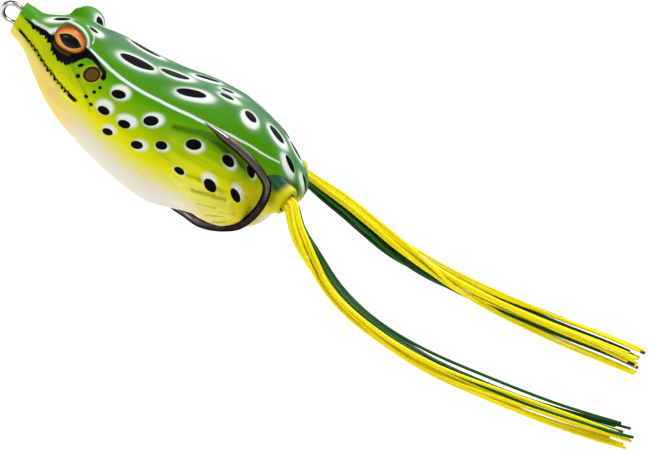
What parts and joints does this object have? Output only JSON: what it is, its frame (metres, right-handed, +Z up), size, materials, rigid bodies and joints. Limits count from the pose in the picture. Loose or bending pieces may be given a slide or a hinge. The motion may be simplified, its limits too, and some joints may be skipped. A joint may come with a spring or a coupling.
{
  "type": "hollow_body_popping_frog",
  "caption": "Hollow-body popping frog lure with cupped mouth, moulded eyes, hook points lying along the flanks, and rubber-strand legs",
  "frame": {"origin": "centre of the line-tie loop", "axes": "+X forward out of the nose along the pull of the line, +Y the frog's left, +Z up"},
  "size_m": [0.1358, 0.0438, 0.0255],
  "materials": {
    "frog_skin": "glossy painted soft skin",
    "eye_orange": "glossy moulded eye",
    "bright_wire": "bright steel wire",
    "black_nickel": "black nickel plated wire",
    "ballast_lead": "dull cast weight",
    "brass_block": "plain turned brass",
    "soft_plug": "matt soft plug",
    "black_band": "matt black rubber",
    "strand_yellow": "satin silicone strands"
  },
  "bodies": {
    "harness": {"body_shell": "frog_skin", "line_tie": "bright_wire", "nose_plug": "soft_plug", "tie_block": "brass_block", "double_hook": "black_nickel", "shank_sleeve": "black_band", "ballast_weight": "ballast_lead", "belly_plug": "soft_plug", "skirt_core": "strand_yellow", "left_leg_band": "black_band", "right_leg_band": "black_band"},
    "crown": {"left_eye": "eye_orange", "right_eye": "eye_orange"},
    "left_leg_body": {"left_leg": "strand_yellow"},
    "right_leg_body": {"right_leg": "strand_yellow"}
  },
  "joints": [
    {"name": "back_press", "type": "hinge", "parent": "harness", "child": "crown", "pos_m": [-0.0025, 0, 0], "axis": [0, -1, 0], "range_deg": [0, 7], "stiffness_Nm_per_rad": 0.3, "deforming": ["body_shell"]},
    {"name": "left_leg_swing", "type": "hinge", "parent": "harness", "child": "left_leg_body", "pos_m": [-0.0593, 0.0073, -0.0026], "axis": [0, 0, 1], "range_deg": [-25, 10], "stiffness_Nm_per_rad": 0.0005},
    {"name": "right_leg_swing", "type": "hinge", "parent": "harness", "child": "right_leg_body", "pos_m": [-0.0593, -0.0073, -0.0026], "axis": [0, 0, 1], "range_deg": [-10, 25], "stiffness_Nm_per_rad": 0.0005}
  ]
}
